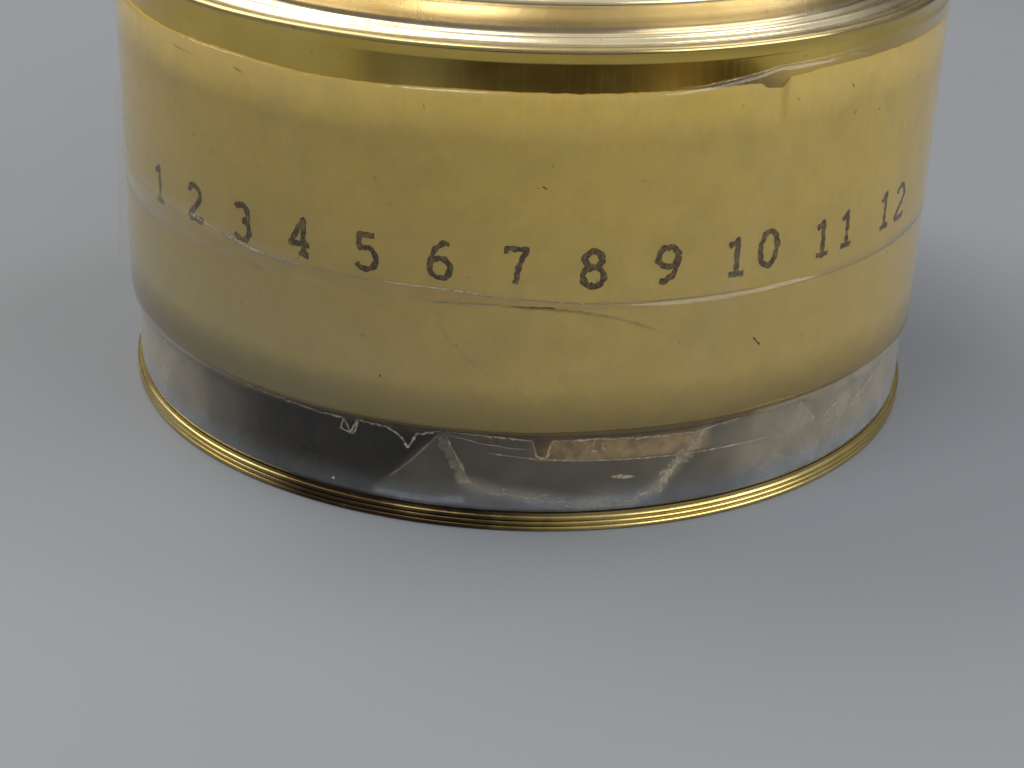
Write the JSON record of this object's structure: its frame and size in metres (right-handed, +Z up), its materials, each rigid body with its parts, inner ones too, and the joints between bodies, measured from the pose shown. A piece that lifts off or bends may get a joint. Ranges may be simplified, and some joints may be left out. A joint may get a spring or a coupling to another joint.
{
  "type": "labelled round tin for a grinding wheel",
  "caption": "Round gold-lacquered tin, closed and taped shut, with a paper label round the lid's skirt and a raised, ridged lid top.",
  "frame": {"origin": "centre of the base, on the plane that the tin stands on", "axes": "+Z up along the tin's axis, -Y towards the front, where the middle of the label's typed line is, +X to the right"},
  "size_m": [0.065, 0.0646, 0.037],
  "materials": {
    "gold_lacquer": "polished tinplate under clear gold lacquer",
    "dark_lacquer": "tinplate under dark brown stained lacquer, gold on the bead",
    "label_paper": "yellowed typing paper",
    "typed_ink": "uneven typewriter ink",
    "clear_film": "clear adhesive tape, a little yellowed and milky"
  },
  "bodies": {
    "root": {"tin_body": "dark_lacquer", "tin_lid": "gold_lacquer", "paper_label": "label_paper", "lower_tape": "clear_film", "upper_tape": "clear_film"}
  },
  "joints": []
}
